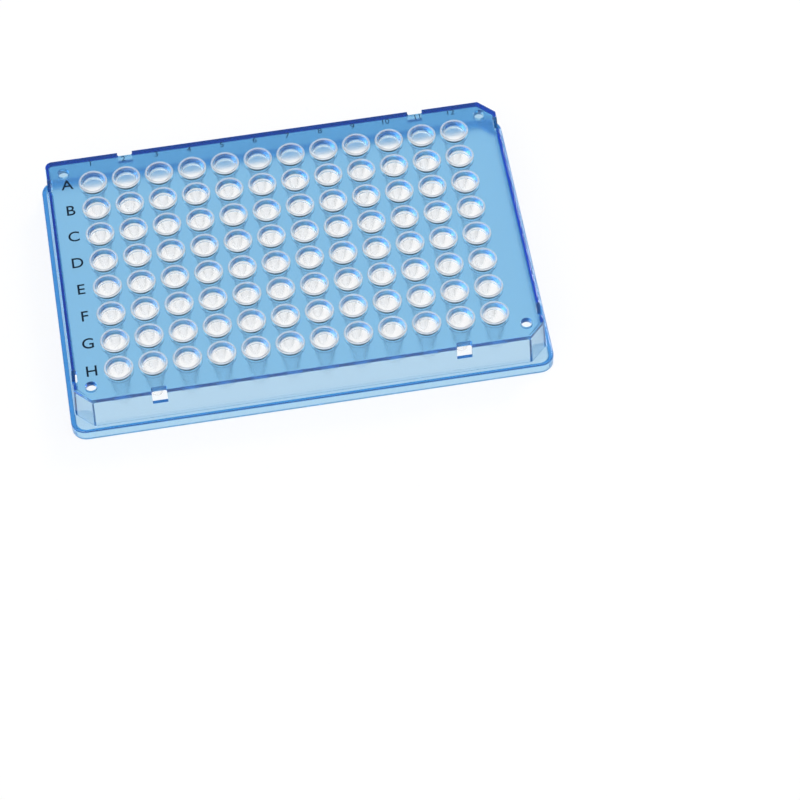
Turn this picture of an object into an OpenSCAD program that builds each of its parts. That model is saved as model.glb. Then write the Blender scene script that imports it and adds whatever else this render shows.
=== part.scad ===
// Skirted well plate: a rigid see-through frame with 96 soft clear wells moulded into its deck.
// Origin at the middle of the footprint, on the table; +Z up, +X from column 1 to column 12,
// +Y from row H to row A.

/* [Grid of wells] */
// Distance between the centres of neighbouring wells
pitch = 9; // [8.5:0.1:12]
// Number of rows, lettered from the back
rows = 8; // [2:1:16]
// From the flange's short end to the centre of the first well
first_well_from_end = 14.38; // [13:0.01:20]
// From the flange's long side to the centre of the first well
first_well_from_side = 11.24; // [10:0.01:16]

/* [Base flange] */
// Height of the flange's ledge above the table
ledge_height = 3.4; // [2.4:0.05:5]
// Thickness of the ledge that joins the flange to the skirt
ledge_thickness = 1; // [0.8:0.05:1.4]
// Thickness of the flange's upright wall
flange_wall = 1.2; // [0.9:0.05:1.3]
// Outer corner radius of the flange
flange_corner_r = 4; // [2:0.1:6]
// Bevel along the flange's top edge
flange_bevel = 0.45; // [0.1:0.05:0.6]

/* [Skirt and deck] */
// Height of the deck's top face above the table
deck_height = 14.1; // [11.5:0.05:18]
// Thickness of the deck
deck_thickness = 1.9; // [1:0.05:2.2]
// Distance from the flange's outer face in to the deck's edge
deck_inset = 2.1; // [2:0.05:3.2]
// How far the skirt spreads on its way down to the ledge
skirt_draft = 0.6; // [0.1:0.05:0.7]
// Thickness of the skirt's wall
skirt_wall = 0.95; // [0.8:0.05:1.2]
// Radius along the deck's outer top edge
deck_edge_r = 0.5; // [0.2:0.05:0.8]
// Radius where the skirt's inner face meets the underside of the deck
inner_fillet_r = 0.6; // [0.2:0.05:0.8]
// Leg of the three cut corners
corner_cut = 4.3; // [2.6:0.1:5]
// Radius of the one round corner, beside the first well of the first row
corner_round_r = 1.8; // [1.3:0.1:3]

/* [Edge slots] */
// Width of a slot
slot_width = 4; // [2:0.1:6]
// How far a slot reaches in from the deck's edge
slot_depth = 1.3; // [1.2:0.05:2]
// Radius of a slot's two inner corners
slot_corner_r = 0.5; // [0.1:0.05:0.9]
// How far a slot reaches down from the deck's top face
slot_height = 5; // [2:0.1:7]
// From the deck's short end to the middle of a slot in a long side
long_side_slot = 21.8; // [10:0.1:40]
// From the deck's long side to the middle of a slot in a short end
short_end_slot = 8.4; // [7:0.1:20]

/* [Deck holes] */
// Diameter of the four holes near the corners
hole_d = 2.9; // [1.5:0.1:4]
// From the deck's edges in to the centre of a hole
hole_inset = 4.6; // [4:0.05:6]

/* [Wells] */
// Distance left between the rims of neighbouring wells
rim_gap = 1.3; // [0.8:0.05:2.4]
// How far the rim reaches out over the deck, past the neck
rim_overhang = 0.4; // [0.3:0.05:0.6]
// Height of the rim above the deck
rim_height = 0.3; // [0.2:0.05:1]
// Radius along the rim's edges
rim_edge_r = 0.12; // [0.05:0.01:0.14]
// Thickness of the neck that fills the deck's hole
neck_wall = 0.7; // [0.55:0.05:0.85]
// Room left all round the neck in its hole
neck_clearance = 0.02; // [0.01:0.01:0.05]
// How far the collar reaches out under the deck, past the neck
collar_overhang = 0.4; // [0.3:0.05:0.6]
// Height of the collar
collar_height = 0.6; // [0.4:0.05:1]
// How much wider the very mouth is than the bore, on each side
mouth_flare = 0.45; // [0.2:0.05:0.55]
// Height of the funnel between the mouth and the bore
funnel_height = 0.7; // [0.4:0.05:1.2]
// Height of the bore's straight stretch, down to where the taper starts
straight_height = 2.3; // [1.5:0.05:3]
// Inner radius of the round bottom
bottom_r = 1.35; // [1:0.05:1.6]
// Thickness of the tube's wall
well_wall = 0.42; // [0.3:0.02:0.5]
// Gap between a well's lowest point and the table
well_lift = 0.6; // [0.3:0.05:1.5]

/* [Hidden] */
columns = 12;

$fn = 72;
arc_steps = 5;
bottom_steps = 8;
overshoot = 1;

grid_half_x = (columns - 1) * pitch / 2;
grid_half_y = (rows - 1) * pitch / 2;
base_half_x = grid_half_x + first_well_from_end;
base_half_y = grid_half_y + first_well_from_side;
deck_half_x = base_half_x - deck_inset;
deck_half_y = base_half_y - deck_inset;
span = 2 * (base_half_x + base_half_y);
deck_underside = deck_height - deck_thickness;
cavity_height = ledge_height - ledge_thickness;
cut_half = (deck_half_x + deck_half_y - corner_cut) / sqrt(2);

// Radii of a well, from the rim inwards
rim_r = (pitch - rim_gap) / 2;
neck_r = rim_r - rim_overhang;
collar_r = neck_r + collar_overhang;
bore_r = neck_r - neck_wall;
mouth_r = bore_r + mouth_flare;
tube_r = bore_r + well_wall;
tip_r = bottom_r + well_wall;

// Heights of a well, and the taper that just touches the round bottom
rim_top = deck_height + rim_height;
tip_z = well_lift + tip_r;
taper_top = rim_top - funnel_height - straight_height;
taper_rise = taper_top - tip_z;
half_angle = acos(bottom_r / norm([bore_r, taper_rise])) - atan2(taper_rise, bore_r);
outer_taper_top = tip_z + (tube_r - tip_r / cos(half_angle)) / tan(half_angle);

// Distance that the skirt has spread out at height z
function spread(z) = skirt_draft * (deck_height - z) / (deck_height - ledge_height);

// Quarter circle from straight out to straight up
function quarter(u, z, r, steps) = [
    for (i = [0 : steps]) [u + r * cos(90 * i / steps), z + r * sin(90 * i / steps)]
];

// Right half of an upright section: a sloping side and a rounded top edge
function side_line(half, inset, z_low, z_top, r) = concat(
    [[half - inset + spread(z_low), z_low]],
    quarter(half - inset + spread(z_top - r) - r, z_top - r, r, arc_steps)
);

function flipped(points) = [
    for (i = [len(points) - 1 : -1 : 0]) [-points[i][0], points[i][1]]
];

// Section of the round corner, out from its own axis
function round_section(half, z_low, z_top, r) = concat(
    [[0, z_low]], side_line(half, 0, z_low, z_top, r), [[0, z_top]]
);

// Long bar with the given section, lying along +Y once it is turned by the angle
module bar(points, angle) {
    rotate([0, 0, angle])
        rotate([90, 0, 0])
            linear_extrude(span, center = true)
                polygon(points);
}

// Solid inside the skirt's outer face, or inside its inner face if inset by the wall
module skirt_solid(inset, z_low, z_top, r) {
    line_x = side_line(deck_half_x, inset, z_low, z_top, r);
    line_y = side_line(deck_half_y, inset, z_low, z_top, r);
    line_cut = side_line(cut_half, inset, z_low, z_top, r);
    round_r = corner_round_r - inset;
    round_x = -deck_half_x + corner_round_r;
    round_y = deck_half_y - corner_round_r;
    intersection() {
        bar(concat(line_x, flipped(line_x)), 0);
        bar(concat(line_y, flipped(line_y)), 90);
        bar(concat(line_cut, flipped(line_cut)), 45);
        bar(concat(line_cut, [[-span, z_top], [-span, z_low]]), -45);
        union() {
            translate([round_x, -span / 2, z_low - overshoot])
                cube([span, span, z_top - z_low + 2 * overshoot]);
            translate([-span / 2, round_y - span, z_low - overshoot])
                cube([span, span, z_top - z_low + 2 * overshoot]);
            translate([round_x, round_y, 0])
                rotate_extrude()
                    polygon(round_section(round_r, z_low, z_top, min(r, 0.9 * round_r)));
        }
    }
}

// Flange as a plate with round corners and a bevelled top edge
module flange_solid() {
    straight_x = base_half_x - flange_corner_r;
    straight_y = base_half_y - flange_corner_r;
    corner = [
        [0, 0], [flange_corner_r, 0], [flange_corner_r, ledge_height - flange_bevel],
        [flange_corner_r - flange_bevel, ledge_height], [0, ledge_height]
    ];
    intersection() {
        bar(flange_section(base_half_x), 0);
        translate([-base_half_x, -straight_y, 0])
            cube([2 * base_half_x, 2 * straight_y, ledge_height]);
    }
    intersection() {
        bar(flange_section(base_half_y), 90);
        translate([-straight_x, -base_half_y, 0])
            cube([2 * straight_x, 2 * base_half_y, ledge_height]);
    }
    for (x = [-straight_x, straight_x], y = [-straight_y, straight_y])
        translate([x, y, 0])
            rotate_extrude()
                polygon(corner);
}

function flange_section(half) = [
    [-half, 0], [half, 0], [half, ledge_height - flange_bevel], [half - flange_bevel, ledge_height],
    [flange_bevel - half, ledge_height], [-half, ledge_height - flange_bevel]
];

// Rectangle with round corners, drawn flat
module round_rectangle(half_x, half_y, r) {
    square([2 * half_x, 2 * (half_y - r)], center = true);
    square([2 * (half_x - r), 2 * half_y], center = true);
    for (x = [r - half_x, half_x - r], y = [r - half_y, half_y - r])
        translate([x, y])
            circle(r);
}

// Space inside the flange and the skirt, open below
module underside_cavity() {
    translate([0, 0, -overshoot])
        linear_extrude(cavity_height + overshoot)
            round_rectangle(base_half_x - flange_wall, base_half_y - flange_wall,
                            flange_corner_r - flange_wall);
    skirt_solid(skirt_wall, -overshoot, deck_underside, inner_fillet_r);
}

// One slot's outline, open towards +X, with its inner corners rounded
module slot_outline() {
    reach = slot_depth + deck_inset;
    translate([slot_corner_r - slot_depth, -slot_width / 2])
        square([reach - slot_corner_r, slot_width]);
    translate([-slot_depth, slot_corner_r - slot_width / 2])
        square([reach, slot_width - 2 * slot_corner_r]);
    for (side = [-1, 1])
        translate([slot_corner_r - slot_depth, side * (slot_width / 2 - slot_corner_r)])
            circle(slot_corner_r);
}

// Slots cut down through the deck's edge: two in each long side and two in each short end
module edge_slots() {
    slot_x = deck_half_x - long_side_slot;
    slot_y = deck_half_y - short_end_slot;
    translate([0, 0, deck_height - slot_height])
        linear_extrude(slot_height + overshoot) {
            for (x = [-slot_x, slot_x], turn = [-90, 90])
                translate([x, sign(turn) * deck_half_y])
                    rotate(turn)
                        slot_outline();
            for (y = [-slot_y, slot_y], turn = [0, 180])
                translate([cos(turn) * deck_half_x, y])
                    rotate(turn)
                        slot_outline();
        }
}

module deck_holes() {
    hole_x = deck_half_x - hole_inset;
    hole_y = deck_half_y - hole_inset;
    for (x = [-hole_x, hole_x], y = [-hole_y, hole_y])
        translate([x, y, deck_underside - overshoot])
            cylinder(d = hole_d, h = deck_thickness + 2 * overshoot);
}

function well_x(column) = (column - (columns + 1) / 2) * pitch;
function well_y(row) = ((rows + 1) / 2 - row) * pitch;

module neck_holes() {
    for (column = [1 : columns], row = [1 : rows])
        translate([well_x(column), well_y(row), deck_underside - overshoot])
            cylinder(r = neck_r + neck_clearance, h = deck_thickness + 2 * overshoot);
}

module frame() {
    color([0.34, 0.6, 0.88, 0.6])
        difference() {
            union() {
                flange_solid();
                skirt_solid(0, cavity_height, deck_height, deck_edge_r);
            }
            underside_cavity();
            edge_slots();
            deck_holes();
            neck_holes();
        }
}

// Round stretch of a well's bottom, from its lowest point out to the start of the taper
function bottom_arc(r) = [
    for (i = [0 : bottom_steps])
        let (a = (90 - half_angle) * i / bottom_steps) [r * sin(a), tip_z - r * cos(a)]
];

// Half sections of a well: the tube's outside, the rim, and the hollow from bottom to mouth
tube_section = concat(bottom_arc(tip_r), [
    [tube_r, outer_taper_top], [tube_r, deck_height], [0, deck_height]
]);
rim_section = concat(
    [[0, deck_height], [rim_r, deck_height]],
    quarter(rim_r - rim_edge_r, rim_top - rim_edge_r, rim_edge_r, 3),
    [[0, rim_top]]
);
hollow_section = concat(
    bottom_arc(bottom_r),
    [[bore_r, taper_top], [bore_r, rim_top - funnel_height]],
    [for (p = quarter(-mouth_r - rim_edge_r, rim_top - rim_edge_r, rim_edge_r, 3)) [-p[0], p[1]]],
    [[mouth_r + rim_edge_r, rim_top + overshoot], [0, rim_top + overshoot]]
);

module well() {
    rotate_extrude()
        difference() {
            union() {
                polygon(tube_section);
                translate([0, deck_underside - collar_height])
                    square([collar_r, collar_height]);
                translate([0, deck_underside - collar_height])
                    square([neck_r, deck_thickness + collar_height]);
                polygon(rim_section);
            }
            polygon(hollow_section);
        }
}

module wells_column(column) {
    color([0.92, 0.94, 0.98, 0.55])
        for (row = [1 : rows])
            translate([well_x(column), well_y(row), 0])
                well();
}

frame();
wells_column(1);  // wells_column_01
wells_column(2);  // wells_column_02
wells_column(3);  // wells_column_03
wells_column(4);  // wells_column_04
wells_column(5);  // wells_column_05
wells_column(6);  // wells_column_06
wells_column(7);  // wells_column_07
wells_column(8);  // wells_column_08
wells_column(9);  // wells_column_09
wells_column(10);  // wells_column_10
wells_column(11);  // wells_column_11
wells_column(12);  // wells_column_12
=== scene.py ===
import bpy, bmesh, math
from mathutils import Matrix, Vector


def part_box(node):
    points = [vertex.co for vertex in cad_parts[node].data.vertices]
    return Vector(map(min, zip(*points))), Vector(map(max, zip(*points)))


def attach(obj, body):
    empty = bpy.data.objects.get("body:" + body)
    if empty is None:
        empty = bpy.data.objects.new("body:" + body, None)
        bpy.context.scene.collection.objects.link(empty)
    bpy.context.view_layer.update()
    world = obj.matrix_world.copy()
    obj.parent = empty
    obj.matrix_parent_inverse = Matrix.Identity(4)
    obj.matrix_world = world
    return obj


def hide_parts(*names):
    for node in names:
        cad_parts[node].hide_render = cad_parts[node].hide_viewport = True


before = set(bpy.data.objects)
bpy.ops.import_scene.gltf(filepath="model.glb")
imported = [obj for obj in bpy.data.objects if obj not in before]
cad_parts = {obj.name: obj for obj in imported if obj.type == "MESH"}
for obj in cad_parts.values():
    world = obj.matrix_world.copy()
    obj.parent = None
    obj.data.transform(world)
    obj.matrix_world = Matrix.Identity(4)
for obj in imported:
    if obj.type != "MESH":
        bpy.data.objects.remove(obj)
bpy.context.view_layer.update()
mm = 0.001

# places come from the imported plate
rows = "ABCDEFGH"
columnNodes = sorted(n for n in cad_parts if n.startswith("wells_column"))
halfX, halfY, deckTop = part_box("frame")[1] / mm
firstLow, firstHigh = (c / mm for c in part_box(columnNodes[0]))
columnX = [(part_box(n)[0].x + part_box(n)[1].x) / 2 / mm for n in columnNodes]
pitch = columnX[1] - columnX[0]
rowY = [firstHigh.y - (firstHigh.x - firstLow.x) / 2 - pitch * r for r in range(len(rows))]


cameraSettings = {
    "position": (-38.07, -542.55, 706.21),  # mm
    "azimuth": -6.873,                      # degrees off +Y, towards +X
    "elevation": 54.625,
    "roll": -2.787,
    "lens": 148.74,
    "near": 0.05,                           # m
    "far": 20,
}

def makeCamera(s):
    data = bpy.data.cameras.new("camera")
    data.lens, data.sensor_width = s["lens"], 36
    data.clip_start, data.clip_end = s["near"], s["far"]
    cam = bpy.data.objects.new("camera", data)
    bpy.context.scene.collection.objects.link(cam)
    az, el, roll = (math.radians(s[k]) for k in ("azimuth", "elevation", "roll"))
    ahead = Vector((-math.sin(az) * math.cos(el), math.cos(az) * math.cos(el), -math.sin(el)))
    aim, tilt = ahead.to_track_quat("-Z", "Y"), Matrix.Rotation(roll, 4, "Z").to_quaternion()
    cam.rotation_mode = "QUATERNION"
    cam.rotation_quaternion = aim @ tilt
    cam.location = Vector(s["position"]) * mm
    bpy.context.scene.camera = cam

makeCamera(cameraSettings)


def addMesh(name, verts, faces):
    mesh = bpy.data.meshes.new(name)
    mesh.from_pydata([(x * mm, y * mm, z * mm) for x, y, z in verts], [], faces)
    ob = bpy.data.objects.new(name, mesh)
    bpy.context.scene.collection.objects.link(ob)
    return ob

smallArc, filletArc = 3, 4   # steps round a small edge and round a fillet

# quarter round from start to end
def curveBetween(start, end, centreSide, steps):
    (u0, z0), (u1, z1) = start, end
    cu, cz = (u1, z0) if centreSide == "endFirst" else (u0, z1)
    pts = []
    for i in range(steps + 1):
        t = math.pi / 2 * i / steps
        if centreSide == "endFirst":   # leaves start along z, arrives along u
            pts.append((cu + (u0 - cu) * math.cos(t), cz + (z1 - cz) * math.sin(t)))
        else:                          # leaves start along u, arrives along z
            pts.append((cu + (u1 - cu) * math.sin(t), cz + (z0 - cz) * math.cos(t)))
    return pts

bend = 45               # degrees; a cut corner turns twice by this
halfBend = math.radians(bend / 2)
plainArc = 1 - math.tan(halfBend)   # cut by this share of its radius, a corner is one plain arc
bendShift = 0.5858      # how far a bend moves along the edge for each mm drawn in
sharpestR = 0.06        # mm
quarters = ((1, 1), (-1, 1), (-1, -1), (1, -1))

# one ring of (x, y): a rectangle whose corners are cut and rounded, drawn in from its edge
def outline(hx, hy, corners, inset, steps):
    pts = []
    a, b = hx - inset, hy - inset
    for (sx, sy), (cut, r) in corners:
        c, rr = cut - bendShift * inset, max(r - inset, sharpestR)
        # the two bends of this corner, in turning order
        first, second = (sx * a, sy * (b - c)), (sx * (a - c), sy * b)
        order = (first, second) if sx * sy > 0 else (second, first)
        turn = math.degrees(math.atan2(sy, sx)) - bend
        reach = rr / math.cos(halfBend)
        for i, (vx, vy) in enumerate(order):
            start = turn + bend * i
            mid = math.radians(start + bend / 2)
            ox, oy = vx - reach * math.cos(mid), vy - reach * math.sin(mid)
            for k in range(steps + 1):
                t = math.radians(start + bend * k / steps)
                pts.append((ox + rr * math.cos(t), oy + rr * math.sin(t)))
    return pts

# rings of (x, y, z), each with as many points; the bands from insideFrom on are the inside
def loft(name, rings, insideFrom=None):
    n, bands = len(rings[0]), len(rings) - 1
    verts = [p for ring in rings for p in ring]
    faces = [(j * n + i, j * n + (i + 1) % n, (j + 1) * n + (i + 1) % n, (j + 1) * n + i)
             for j in range(bands) for i in range(n)]
    faces += [tuple(reversed(range(n))), tuple(bands * n + i for i in range(n))]
    ob = addMesh(name, verts, faces)
    if insideFrom is not None:
        firstCap = len(faces) - 2
        for k, face in enumerate(ob.data.polygons):
            face.material_index = inside if k // n >= insideFrom and k != firstCap else gloss
    return ob

def joined(name, obs, materials=()):
    bm = bmesh.new()
    for ob in obs:
        bm.from_mesh(ob.data)
        bpy.data.objects.remove(ob)
    mesh = bpy.data.meshes.new(name)
    bmesh.ops.recalc_face_normals(bm, faces=bm.faces)
    bm.to_mesh(mesh)
    bm.free()
    for m in materials:
        mesh.materials.append(m)
    ob = bpy.data.objects.new(name, mesh)
    bpy.context.scene.collection.objects.link(ob)
    return ob

# a half section of (r, z), turned about each centre; r of 0 makes a pole.
# steps says what kind of face each step of the section makes
def lathe(name, section, centres, segments, steps=None):
    steps = steps or [gloss] * len(section)
    turns = [2 * math.pi * i / segments for i in range(segments)]
    verts, faces, kinds = [], [], []
    for cx, cy in centres:
        rings = []
        for r, z in section:
            if r < 1e-6:
                rings.append([len(verts)])
                verts.append((cx, cy, z))
            else:
                rings.append(list(range(len(verts), len(verts) + segments)))
                verts += [(cx + r * math.cos(t), cy + r * math.sin(t), z) for t in turns]
        for j, (lower, upper) in enumerate(zip(rings, rings[1:])):
            for i in range(segments):
                k = (i + 1) % segments
                kinds.append(steps[j])
                if len(lower) == 1:
                    faces.append((lower[0], upper[k], upper[i]))
                elif len(upper) == 1:
                    faces.append((lower[i], lower[k], upper[0]))
                else:
                    faces.append((lower[i], lower[k], upper[k], upper[i]))
    ob = addMesh(name, verts, faces)
    ob.data.polygons.foreach_set("material_index", kinds)
    return ob

# welds a mesh and turns its faces out
def outward(ob):
    bm = bmesh.new()
    bm.from_mesh(ob.data)
    bmesh.ops.remove_doubles(bm, verts=bm.verts, dist=1e-7)
    bmesh.ops.recalc_face_normals(bm, faces=bm.faces)
    if bm.calc_volume(signed=True) < 0:
        bmesh.ops.reverse_faces(bm, faces=bm.faces)
    bm.to_mesh(ob.data)
    bm.free()

def shade(ob, angle, weighted=False):
    ob.data.shade_smooth()
    ob.data.set_sharp_from_angle(angle=math.radians(angle))
    if weighted:
        m = ob.modifiers.new("even", "WEIGHTED_NORMAL")
        m.mode, m.weight, m.keep_sharp = "FACE_AREA", 100, True

def evaluatedMesh(ob):
    return bpy.data.meshes.new_from_object(ob.evaluated_get(bpy.context.evaluated_depsgraph_get()))


# materials first, so that every face knows its own

def link(tree, a, b):
    tree.links.new(a, b)

# faint waves and grain of a moulded surface
def mouldedSkinGroup():
    g = bpy.data.node_groups.new("mouldedSkin", "ShaderNodeTree")
    starts = {"Roughness": 0.05, "Variation": 0.03, "Grain scale": 900.0, "Wave scale": 60.0}
    for name, value in starts.items():
        socket = g.interface.new_socket(name, in_out="INPUT", socket_type="NodeSocketFloat")
        socket.default_value = value
    for name in ("Roughness", "Height"):
        g.interface.new_socket(name, in_out="OUTPUT", socket_type="NodeSocketFloat")
    n = g.nodes
    i, o = n.new("NodeGroupInput"), n.new("NodeGroupOutput")
    where = n.new("ShaderNodeTexCoord")
    grain, wave = n.new("ShaderNodeTexNoise"), n.new("ShaderNodeTexNoise")
    for t, socket, detail in ((grain, "Grain scale", 2), (wave, "Wave scale", 1)):
        link(g, where.outputs["Object"], t.inputs["Vector"])
        link(g, i.outputs[socket], t.inputs["Scale"])
        t.inputs["Detail"].default_value = detail
    uneven, both = n.new("ShaderNodeMath"), n.new("ShaderNodeMath")
    uneven.operation = both.operation = "MULTIPLY_ADD"
    link(g, grain.outputs["Fac"], uneven.inputs[0])
    link(g, i.outputs["Variation"], uneven.inputs[1])
    link(g, i.outputs["Roughness"], uneven.inputs[2])
    link(g, uneven.outputs[0], o.inputs["Roughness"])
    link(g, grain.outputs["Fac"], both.inputs[0])
    both.inputs[1].default_value = 0.12   # the grain is this much lower than the waves
    link(g, wave.outputs["Fac"], both.inputs[2])
    link(g, both.outputs[0], o.inputs["Height"])
    return g

skin = mouldedSkinGroup()

def mixOf(t, share, first, second):
    m = t.nodes.new("ShaderNodeMixShader")
    if share:
        link(t, share, m.inputs["Fac"])
    link(t, first.outputs[0], m.inputs[1])
    link(t, second.outputs[0], m.inputs[2])
    return m

# one material for each plastic. Its faces carry three marks: "frosted" for a duller face,
# "milk" for a hazy one, and "bonded" where the two plastics are moulded together. There is
# no air between them there, so nothing bends or mirrors the light
def clearPlastic(name, s):
    m = bpy.data.materials.new(name)
    m.use_nodes = True
    t = m.node_tree
    n = t.nodes
    n.clear()
    out, p = n.new("ShaderNodeOutputMaterial"), n.new("ShaderNodeBsdfPrincipled")
    p.inputs["Base Color"].default_value = (*s["surface"], 1)
    p.inputs["IOR"].default_value = s["ior"]
    p.inputs["Transmission Weight"].default_value = s["clearness"]
    frosted, milk, bonded = (n.new("ShaderNodeAttribute") for _ in range(3))
    for node, mark in ((frosted, "frosted"), (milk, "milk"), (bonded, "bonded")):
        node.attribute_name = mark
    g, duller, bump = (n.new("ShaderNode" + k) for k in ("Group", "MapRange", "Bump"))
    g.node_tree = skin
    g.inputs["Variation"].default_value = s["variation"]
    g.inputs["Wave scale"].default_value = s["waveScale"]
    duller.inputs["To Min"].default_value = s["roughness"]
    duller.inputs["To Max"].default_value = s["frostedRoughness"]
    bump.inputs["Strength"].default_value = s["bump"]
    bump.inputs["Distance"].default_value = s["bumpDepth"] * mm
    link(t, frosted.outputs["Fac"], duller.inputs["Value"])
    link(t, duller.outputs["Result"], g.inputs["Roughness"])
    link(t, g.outputs["Roughness"], p.inputs["Roughness"])
    link(t, g.outputs["Height"], bump.inputs["Height"])
    link(t, bump.outputs["Normal"], p.inputs["Normal"])
    # lets the lamps' light in, with a tint
    path, clear = n.new("ShaderNodeLightPath"), n.new("ShaderNodeBsdfTransparent")
    clear.inputs["Color"].default_value = (*s["shadowTint"], 1)
    lit = mixOf(t, path.outputs["Is Shadow Ray"], p, clear)
    matte, glow = n.new("ShaderNodeBsdfDiffuse"), n.new("ShaderNodeBsdfTranslucent")
    for node in (matte, glow):
        node.inputs["Color"].default_value = (*s["milk"], 1)
    hazy = mixOf(t, milk.outputs["Fac"], lit, mixOf(t, None, matte, glow))
    whole = mixOf(t, bonded.outputs["Fac"], hazy, n.new("ShaderNodeBsdfTransparent"))
    link(t, whole.outputs[0], out.inputs["Surface"])
    if "density" in s:
        v = n.new("ShaderNodeVolumeAbsorption")
        v.inputs["Color"].default_value = (*s["body"], 1)
        v.inputs["Density"].default_value = s["density"]
        link(t, v.outputs[0], out.inputs["Volume"])
    return m

blueSettings = {
    "surface": (1.0, 0.925, 0.92),
    "ior": 1.585,
    "clearness": 1,
    "roughness": 0.02,
    "frostedRoughness": 0.22,
    "variation": 0.03,
    "waveScale": 70,
    "bump": 0.15,
    "bumpDepth": 0.02,              # mm
    "shadowTint": (0.97, 0.985, 1.0),
    "milk": (0.18, 0.56, 0.76),
    "body": (0.22, 0.725, 0.95),    # the blue comes from the thickness that light passes
    "density": 800,
}
wellSettings = {
    "surface": (1.0, 1.0, 1.0),
    "ior": 1.40,
    "clearness": 1,
    "roughness": 0.10,
    "frostedRoughness": 0.30,
    "variation": 0.08,
    "waveScale": 160,
    "bump": 0.06,
    "bumpDepth": 0.02,
    "shadowTint": (0.96, 0.97, 0.98),
    "milk": (1.0, 1.0, 1.0),
}
bluePlastic = clearPlastic("bluePlastic", blueSettings)
wellPlastic = clearPlastic("wellPlastic", wellSettings)

# the kinds of face that the moulded pieces have, and what each kind is marked with
faceKinds = range(9)
gloss, inside, bond, rimFace, tubeFace, lipFace, funnelFace, cutFace, footFace = faceKinds
faceMarks = {
    "frosted": {inside: 1, cutFace: 1, tubeFace: 0.4, funnelFace: 0.8},
    "bonded": {bond: 1},
    "milk": {
        gloss: 0.03, inside: 0.10, cutFace: 0.14, footFace: 0.55,
        rimFace: 0.40, lipFace: 0.75, funnelFace: 0.05, tubeFace: 0.01,
    },
}

# gives a piece its material, and turns the kinds of its faces into attributes
def dress(ob, material):
    me = ob.data
    kinds = [p.material_index for p in me.polygons]
    for name, values in faceMarks.items():
        mark = me.attributes.new(name, "FLOAT", "FACE")
        mark.data.foreach_set("value", [values.get(k, 0) for k in kinds])
    me.materials.clear()
    me.materials.append(material)
    me.polygons.foreach_set("material_index", [0] * len(kinds))

inkFinish = {
    "mottle": 1500,
    "roughness": 0.5,
    "shine": 0.15,
}

# an ink runs from dark to light in a fine mottle
def inkMaterial(name, dark, light):
    m = bpy.data.materials.new(name)
    m.use_nodes = True
    t = m.node_tree
    p = t.nodes["Principled BSDF"]
    kinds = ("TexNoise", "ValToRGB", "TexCoord")
    noise, ramp, where = (t.nodes.new("ShaderNode" + k) for k in kinds)
    noise.inputs["Scale"].default_value = inkFinish["mottle"]
    link(t, where.outputs["Object"], noise.inputs["Vector"])
    ramp.color_ramp.elements[0].color = (*dark, 1)
    ramp.color_ramp.elements[1].color = (*light, 1)
    link(t, noise.outputs["Fac"], ramp.inputs["Fac"])
    link(t, ramp.outputs["Color"], p.inputs["Base Color"])
    p.inputs["Roughness"].default_value = inkFinish["roughness"]
    p.inputs["Specular IOR Level"].default_value = inkFinish["shine"]
    return m

darkInk = inkMaterial("darkInk", (0.001, 0.008, 0.020), (0.003, 0.018, 0.040))
thinInk = inkMaterial("thinInk", (0.010, 0.035, 0.080), (0.020, 0.060, 0.120))
print("materials made")


# all in mm
plateFrame = {
    "ledgeHeight": 3.4,
    "ledgeThickness": 1.0,
    "flangeWall": 1.2,
    "flangeCornerR": 4.0,
    "flangeEdgeR": 0.5,
    "footR": 0.2,
    "footBand": 0.1,        # faces lower than this stand on the table
    "ledgeUnderR": 0.3,
    "skirtFootR": 0.25,
    "deckInset": 2.1,
    "deckThickness": 1.9,
    "deckEdgeR": 0.4,
    "skirtDraft": 0.6,
    "skirtWall": 0.92,
    "ledgeFilletR": 0.35,
    "innerFilletR": 0.4,
    "cornerCut": 4.3,
    "cutEdgeR": 0.45,
    "roundCornerR": 1.8,
    "slotWidth": 4.0,
    "slotDepth": 1.3,
    "slotHeight": 5.0,
    "slotCornerR": 0.5,
    "longSideSlot": 21.8,
    "shortEndSlot": 8.4,
    "holeR": 1.45,
    "holeInset": 4.6,
    "neckHoleR": 3.47,
    "seatDepth": 0.01,      # the rim and the collar are let into the deck by a hair
    "seatInset": 0.04,
    "edgeR": 0.15,          # softens slot and hole edges
    "cutterReach": 1.0,     # how far a cutter passes the face that it cuts
    "arcSteps": 6,
    "holeSegments": 40,
    "neckSegments": 64,
    "smoothAngle": 32,      # degrees
}

well = {
    "rimR": 3.85,
    "rimTopR": 3.74,
    "rimHeight": 0.3,
    "rimFootR": 0.03,
    "rimEdgeR": 0.14,
    "mouthR": 3.3,
    "lipR": 0.16,
    "boreR": 2.75,
    "funnelHeight": 0.9,
    "taperAngle": 17.5,     # degrees, both sides together
    "bottomR": 1.35,
    "wall": 0.42,
    "neckR": 3.45,
    "collarR": 3.85,
    "collarHeight": 0.6,
    "collarEdgeR": 0.12,
    "collarFilletR": 0.2,
    "segments": 56,
    "tipSteps": 9,
    "bottomSteps": 8,
    "smoothAngle": 35,      # degrees
}

deckUnder = deckTop - plateFrame["deckThickness"]

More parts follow.
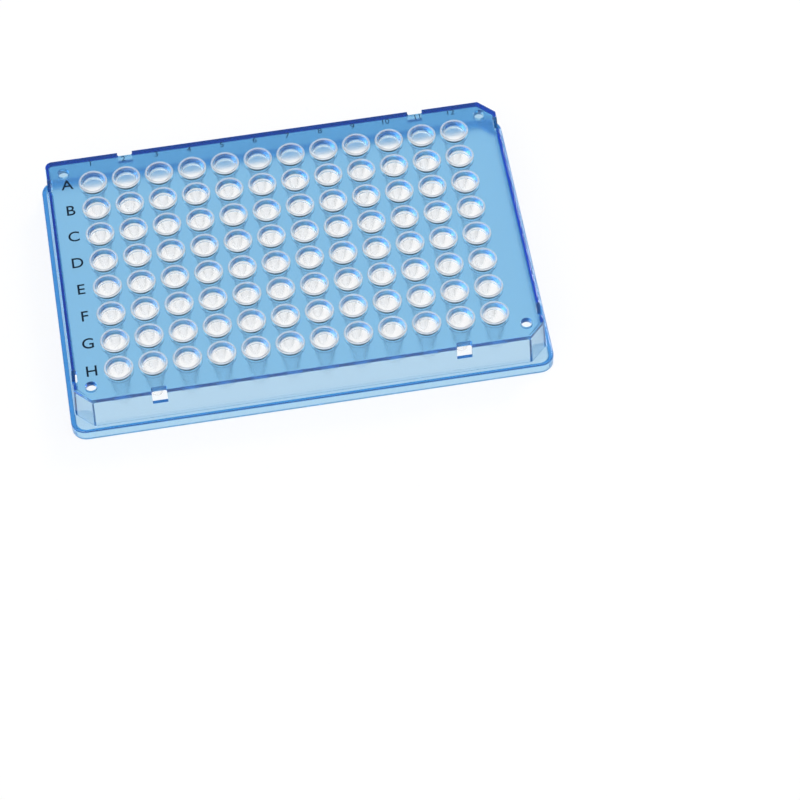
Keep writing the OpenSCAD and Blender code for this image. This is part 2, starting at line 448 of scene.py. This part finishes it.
def frameRings(s):
    n = s["arcSteps"]
    cutCorner = (s["cornerCut"], s["cutEdgeR"])
    roundCorner = (s["roundCornerR"] * plainArc, s["roundCornerR"])
    flangeCorner = (s["flangeCornerR"] * plainArc, s["flangeCornerR"])
    # the round corner of the skirt is beside the first well of row A
    skirtCorners = [(q, roundCorner if q == (-1, 1) else cutCorner) for q in quarters]
    flangeCorners = [(q, flangeCorner) for q in quarters]
    deckX, deckY = halfX - s["deckInset"], halfY - s["deckInset"]

    def spread(z):
        return s["skirtDraft"] * (deckTop - z) / (deckTop - s["ledgeHeight"])

    def skirt(curve):
        return [[(x, y, z) for x, y in outline(deckX, deckY, skirtCorners, u - spread(z), n)]
                for u, z in curve]

    def flange(curve):
        return [[(x, y, z) for x, y in outline(halfX, halfY, flangeCorners, u, n)]
                for u, z in curve]

    ledge, under = s["ledgeHeight"], s["ledgeHeight"] - s["ledgeThickness"]
    wall, flangeWall = s["skirtWall"], s["flangeWall"]
    e, f, g, h = s["deckEdgeR"], s["ledgeFilletR"], s["flangeEdgeR"], s["footR"]
    j, k, r = s["ledgeUnderR"], s["skirtFootR"], s["innerFilletR"]
    rings = skirt(curveBetween((e, deckTop), (0, deckTop - e), "startFirst", n))
    rings += skirt(curveBetween((0, ledge + f), (-f, ledge), "endFirst", filletArc))
    rings += flange(curveBetween((g, ledge), (0, ledge - g), "startFirst", n))
    rings += flange(curveBetween((0, h), (h, 0), "endFirst", smallArc))
    rings += flange(curveBetween((flangeWall - h, 0), (flangeWall, h), "startFirst", smallArc))
    insideFrom = len(rings)
    rings += flange(curveBetween((flangeWall, under - j), (flangeWall + j, under),
                                 "endFirst", smallArc))
    rings += skirt(curveBetween((wall - k, under), (wall, under + k), "startFirst", smallArc))
    rings += skirt(curveBetween((wall, deckUnder - r), (wall + r, deckUnder), "endFirst", n))
    return rings, insideFrom, deckX, deckY

# a rounded block that reaches in from the deck's edge, with its upper edge flared
def slotCutter(x, y, turn, s):
    reach, halfWidth, e = s["slotDepth"] + s["deckInset"], s["slotWidth"] / 2, s["edgeR"]
    mid = reach / 2 - s["slotDepth"]
    corners = [(q, (s["slotCornerR"] * plainArc, s["slotCornerR"])) for q in quarters]
    levels = [(0, deckTop - s["slotHeight"])]
    flare = curveBetween((0, deckTop - e), (e, deckTop), "endFirst", filletArc)
    levels += [(-u, z) for u, z in flare]
    levels += [(-e, deckTop + s["cutterReach"])]
    rings = []
    for inset, z in levels:
        ring = []
        for u, v in outline(reach / 2, halfWidth, corners, inset, filletArc):
            u += mid
            ring.append((x + u * math.cos(turn) - v * math.sin(turn),
                         y + u * math.sin(turn) + v * math.cos(turn), z))
        rings.append(ring)
    ob = loft("slot", rings)
    for face in ob.data.polygons:
        face.material_index = cutFace
    return ob

def holeCutter(x, y, s):
    r, soft, past = s["holeR"], s["edgeR"], s["cutterReach"]
    section = [(0, deckUnder - past), (r + soft, deckUnder - past)]
    section += curveBetween((r + soft, deckUnder), (r, deckUnder + soft), "startFirst", smallArc)
    section += curveBetween((r, deckTop - soft), (r + soft, deckTop), "endFirst", smallArc)
    section += [(r + soft, deckTop + past), (0, deckTop + past)]
    return lathe("hole", section, [(x, y)], s["holeSegments"])

# the neck's hole, let into both faces where the rim and the collar lie on them
def neckCutter(x, y, s):
    r, hair, past = s["neckHoleR"], s["seatDepth"], s["cutterReach"]
    rim, collar = well["rimR"] - s["seatInset"], well["collarR"] - s["seatInset"]
    section = [(0, deckUnder - past), (collar, deckUnder - past)]
    section += [(collar, deckUnder + hair), (r, deckUnder + hair)]
    section += [(r, deckTop - hair), (rim, deckTop - hair)]
    section += [(rim, deckTop + past), (0, deckTop + past)]
    return lathe("neck", section, [(x, y)], s["neckSegments"], [bond] * len(section))

def makeFrame(s):
    rings, insideFrom, deckX, deckY = frameRings(s)
    body = loft("plateFrame", rings, insideFrom)
    for face in body.data.polygons:
        if face.center.z < s["footBand"] * mm:
            face.material_index = footFace
    for _ in faceKinds:
        body.data.materials.append(bluePlastic)
    outward(body)
    cutters = []
    slotX, slotY = deckX - s["longSideSlot"], deckY - s["shortEndSlot"]
    for x in (-slotX, slotX):
        cutters.append(slotCutter(x, deckY, math.pi / 2, s))
        cutters.append(slotCutter(x, -deckY, -math.pi / 2, s))
    for y in (-slotY, slotY):
        cutters.append(slotCutter(deckX, y, 0, s))
        cutters.append(slotCutter(-deckX, y, math.pi, s))
    holeX, holeY = deckX - s["holeInset"], deckY - s["holeInset"]
    cutters += [holeCutter(x, y, s) for x in (-holeX, holeX) for y in (-holeY, holeY)]
    cutters += [neckCutter(x, y, s) for x in columnX for y in rowY]
    cutter = joined("cutter", cutters, [bluePlastic] * len(faceKinds))
    m = body.modifiers.new("cut", "BOOLEAN")
    m.object, m.operation, m.solver = cutter, "DIFFERENCE", "EXACT"
    cut = evaluatedMesh(body)
    body.modifiers.clear()
    body.data = cut
    bpy.data.objects.remove(cutter)
    outward(body)
    dress(body, bluePlastic)
    shade(body, s["smoothAngle"], weighted=True)
    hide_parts("frame")
    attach(body, "root")
    return body

frameBody = makeFrame(plateFrame)
print("frame made", len(frameBody.data.polygons), "faces")


# the half section of a well, from its lowest point up the outside and down the inside
def wellSection(s):
    top = deckTop + s["rimHeight"]
    half = math.radians(s["taperAngle"] / 2)
    tipR, tubeR = s["bottomR"] + s["wall"], s["boreR"] + s["wall"]
    tipZ = firstLow.z + tipR
    sweep = math.pi / 2 - half

    def bowl(r, steps):
        turns = [sweep * i / steps for i in range(steps + 1)]
        return [(r * math.sin(t), tipZ - r * math.cos(t)) for t in turns]

    def coneTop(r, bottom):
        return tipZ + (r - bottom / math.cos(half)) / math.tan(half)

    section, kinds = [], []
    def add(kind, new):
        section.extend(new)
        kinds.extend([kind] * len(new))

    c, f = s["collarEdgeR"], s["collarFilletR"]
    collarR, collarLow = s["collarR"], deckUnder - s["collarHeight"]
    add(tubeFace, bowl(tipR, s["tipSteps"]))
    add(tubeFace, [(tubeR, coneTop(tubeR, tipR)), (tubeR, collarLow - f)])
    fillet = curveBetween((tubeR, collarLow - f), (tubeR + f, collarLow), "endFirst", smallArc)
    add(tubeFace, fillet[1:])
    add(tubeFace, curveBetween((collarR - c, collarLow), (collarR, collarLow + c),
                               "startFirst", smallArc))
    add(bond, [(collarR, deckUnder), (s["neckR"], deckUnder), (s["neckR"], deckTop)])

    foot, e, k = s["rimFootR"], s["rimEdgeR"], s["lipR"]
    rimTopR, mouthR, boreR = s["rimTopR"], s["mouthR"], s["boreR"]
    add(lipFace, [(s["rimR"] - foot, deckTop), (s["rimR"], deckTop + foot)])
    add(lipFace, curveBetween((rimTopR, top - e), (rimTopR - e, top), "endFirst", filletArc)[:-1])
    add(rimFace, [(rimTopR - e, top)])
    add(lipFace, curveBetween((mouthR + k, top), (mouthR, top - k), "startFirst", filletArc))
    # an even bend from the mouth in to the bore
    run, drop = mouthR - boreR, s["funnelHeight"] - k
    add(funnelFace, [(mouthR - run * t * t * (3 - 2 * t), top - k - drop * t)
                     for t in (0.2, 0.4, 0.6, 0.8, 1)])
    add(tubeFace, [(boreR, deckUnder), (boreR, coneTop(boreR, s["bottomR"]))])
    add(tubeFace, list(reversed(bowl(s["bottomR"], s["bottomSteps"]))))
    return section, kinds

def makeWells(s):
    section, steps = wellSection(s)
    for node, x in zip(columnNodes, columnX):
        centres = [(x, y) for y in rowY]
        ob = lathe("wellsColumn" + node[-2:], section, centres, s["segments"], steps)
        for _ in faceKinds:
            ob.data.materials.append(wellPlastic)
        outward(ob)
        dress(ob, wellPlastic)
        shade(ob, s["smoothAngle"])
        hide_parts(node)
        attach(ob, "root")

makeWells(well)
print("wells made")


# all in mm
marks = {
    "letterHeight": 3.3,
    "letterX": -56.5,
    "letterBolder": 0.04,
    "numberHeight": 1.8,
    "numberY": 38.0,
    "capShare": 0.7,        # a capital's height as a share of the type's size
    "thickness": 0.02,
    "lift": 0.004,
}

def addText(words, x, y, height, bolder=0):
    curve = bpy.data.curves.new("mark", "FONT")
    curve.body = words
    curve.align_x, curve.align_y = "CENTER", "CENTER"
    curve.size = height / marks["capShare"] * mm
    curve.resolution_u = 6
    curve.offset = bolder * mm
    curve.extrude = marks["thickness"] / 2 * mm
    ob = bpy.data.objects.new("mark", curve)
    z = deckTop + marks["lift"] + marks["thickness"] / 2
    ob.location = (x * mm, y * mm, z * mm)
    bpy.context.scene.collection.objects.link(ob)
    bpy.context.view_layer.update()
    mesh = evaluatedMesh(ob)
    mesh.transform(ob.matrix_world)
    bpy.data.objects.remove(ob)
    made = bpy.data.objects.new("mark", mesh)
    bpy.context.scene.collection.objects.link(made)
    outward(made)
    return made

def makeMarks(s):
    letters = [addText(row, s["letterX"], y, s["letterHeight"], s["letterBolder"])
               for row, y in zip(rows, rowY)]
    numbers = [addText(str(i + 1), x, s["numberY"], s["numberHeight"])
               for i, x in enumerate(columnX)]
    for name, obs, ink in (("rowLetters", letters, darkInk), ("columnNumbers", numbers, thinInk)):
        ob = joined(name, obs, [ink])
        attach(ob, "root")

makeMarks(marks)
print("marks made")


floorSettings = {
    "halfSide": 4000,       # mm
    "height": -0.02,
    "matte": 0.93,
    "seenShare": 0.85,      # how white it looks, straight or mirrored; through plastic it is 1
}

def makeFloor(s):
    a, z = s["halfSide"], s["height"]
    ob = addMesh("floor", [(-a, -a, z), (a, -a, z), (a, a, z), (-a, a, z)], [(0, 1, 2, 3)])
    m = bpy.data.materials.new("whiteFloor")
    m.use_nodes = True
    t = m.node_tree
    n = t.nodes
    n.clear()
    out, path = n.new("ShaderNodeOutputMaterial"), n.new("ShaderNodeLightPath")
    matte, glow = n.new("ShaderNodeBsdfDiffuse"), n.new("ShaderNodeEmission")
    matte.inputs["Color"].default_value = (s["matte"], s["matte"], s["matte"], 1)
    glow.inputs["Strength"].default_value = 1
    direct, seen, share = (n.new("ShaderNodeMath") for _ in range(3))
    direct.operation, seen.operation, share.operation = "MAXIMUM", "MULTIPLY", "MAXIMUM"
    link(t, path.outputs["Is Camera Ray"], direct.inputs[0])
    link(t, path.outputs["Is Glossy Ray"], direct.inputs[1])
    link(t, direct.outputs[0], seen.inputs[0])
    seen.inputs[1].default_value = s["seenShare"]
    link(t, seen.outputs[0], share.inputs[0])
    link(t, path.outputs["Is Transmission Ray"], share.inputs[1])
    link(t, mixOf(t, share.outputs[0], matte, glow).outputs[0], out.inputs["Surface"])
    ob.data.materials.append(m)

studio = {
    "toward": (0, -0.8, 0.6),   # bright above and in front, dim behind
    "dim": 0.38,
    "bright": 0.95,
    "dimUpTo": 0.0,             # along that direction
    "brightFrom": 0.45,
}

def makeWorld(s):
    w = bpy.data.worlds.new("world")
    bpy.context.scene.world = w
    w.use_nodes = True
    t = w.node_tree
    n = t.nodes
    n.clear()
    out, path = n.new("ShaderNodeOutputWorld"), n.new("ShaderNodeLightPath")
    where, toward, ramp = (n.new("ShaderNode" + k) for k in ("TexCoord", "VectorMath", "ValToRGB"))
    toward.operation = "DOT_PRODUCT"
    toward.inputs[1].default_value = s["toward"]
    link(t, where.outputs["Generated"], toward.inputs[0])
    link(t, toward.outputs["Value"], ramp.inputs["Fac"])
    ends = ((s["dimUpTo"], s["dim"]), (s["brightFrom"], s["bright"]))
    for end, (position, level) in zip(ramp.color_ramp.elements, ends):
        end.position, end.color = position, (level, level, level, 1)
    soft, plain = n.new("ShaderNodeBackground"), n.new("ShaderNodeBackground")
    link(t, ramp.outputs["Color"], soft.inputs["Color"])
    plain.inputs["Color"].default_value = (1, 1, 1, 1)
    mix = mixOf(t, path.outputs["Is Camera Ray"], soft, plain)
    link(t, mix.outputs[0], out.inputs["Surface"])

# places and sizes in m
lamps = {
    "keyLamp": {"place": (0.75, 0.85, 1.1), "size": 0.45, "power": 9},
    "fillLamp": {"place": (-0.6, -0.8, 1.1), "size": 0.8, "power": 4},
}
lampTarget = Vector((0, 0, 0.01))

def makeLamp(name, s):
    data = bpy.data.lights.new(name, "AREA")
    data.shape, data.size, data.energy = "DISK", s["size"], s["power"]
    ob = bpy.data.objects.new(name, data)
    ob.location = s["place"]
    ob.rotation_mode = "QUATERNION"
    ob.rotation_quaternion = (lampTarget - Vector(s["place"])).to_track_quat("-Z", "Y")
    bpy.context.scene.collection.objects.link(ob)
    ob.visible_transmission = False   # lights the faces, and isn't seen through the plastic

makeFloor(floorSettings)
makeWorld(studio)
for lampName, lampSettings in lamps.items():
    makeLamp(lampName, lampSettings)
print("stage made")

# many clear faces lie behind one another
scene = bpy.context.scene
scene.view_settings.view_transform = "Standard"
scene.cycles.transparent_max_bounces = 32
scene.cycles.transmission_bounces = scene.cycles.max_bounces = 24
